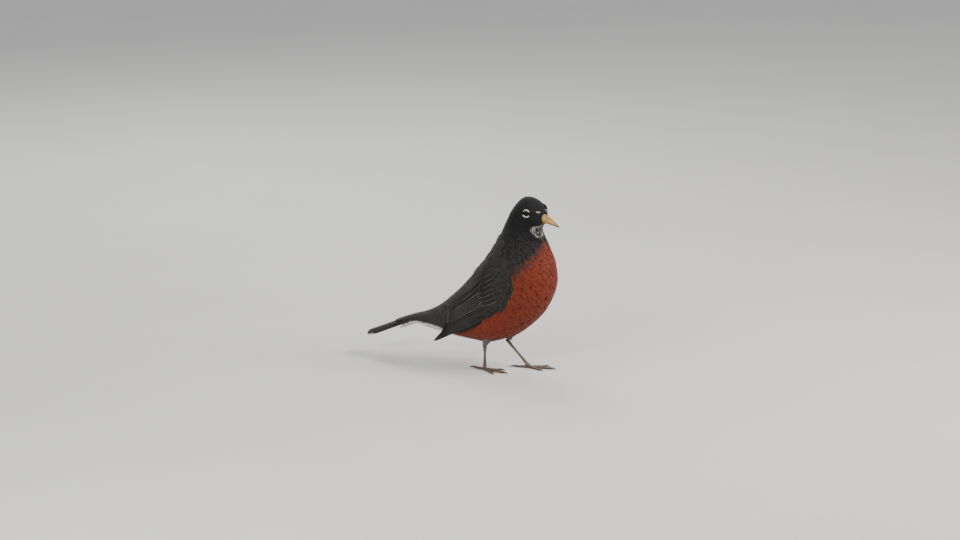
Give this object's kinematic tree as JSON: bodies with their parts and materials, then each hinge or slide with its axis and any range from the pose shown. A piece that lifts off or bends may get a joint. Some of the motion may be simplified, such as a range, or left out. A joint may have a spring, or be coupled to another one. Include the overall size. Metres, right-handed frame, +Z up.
{
  "type": "american robin",
  "caption": "Life-size still figure of a male American robin standing upright on both feet, wings drooped and tail low, for display.",
  "frame": {"origin": "on the floor, under the middle of the bird's box seen from above", "axes": "+X from the tail to the bill, +Y to the bird's left side, +Z up from the floor"},
  "size_m": [0.2142, 0.067, 0.1786],
  "materials": {
    "black_plumage": "sooty black feathers, faint sheen",
    "slate_plumage": "slate grey-brown body feathers, matt",
    "red_plumage": "brick red breast feathers, soft and matt",
    "flight_plumage": "blackish brown wing and tail feathers, slightly glossy",
    "horn": "yellow horn with a dark tip",
    "leg_skin": "dark horn-brown scaled skin",
    "claw_horn": "black horn",
    "eyeball": "wet dark brown eye"
  },
  "bodies": {
    "root": {"head": "black_plumage", "neck": "slate_plumage", "rump": "slate_plumage", "breast": "red_plumage", "belly": "red_plumage", "bill_upper": "horn", "bill_lower": "horn", "eye_right": "eyeball", "wing_right_coverts": "flight_plumage", "wing_right_secondaries": "flight_plumage", "wing_right_primaries": "flight_plumage", "tail_right": "flight_plumage", "thigh_right": "slate_plumage", "shank_right": "leg_skin", "foot_right": "leg_skin", "claw_right_middle": "claw_horn", "claw_right_inner": "claw_horn", "claw_right_outer": "claw_horn", "claw_right_hind": "claw_horn", "eye_left": "eyeball", "wing_left_coverts": "flight_plumage", "wing_left_secondaries": "flight_plumage", "wing_left_primaries": "flight_plumage", "tail_left": "flight_plumage", "thigh_left": "slate_plumage", "shank_left": "leg_skin", "foot_left": "leg_skin", "claw_left_middle": "claw_horn", "claw_left_inner": "claw_horn", "claw_left_outer": "claw_horn", "claw_left_hind": "claw_horn"}
  },
  "joints": []
}
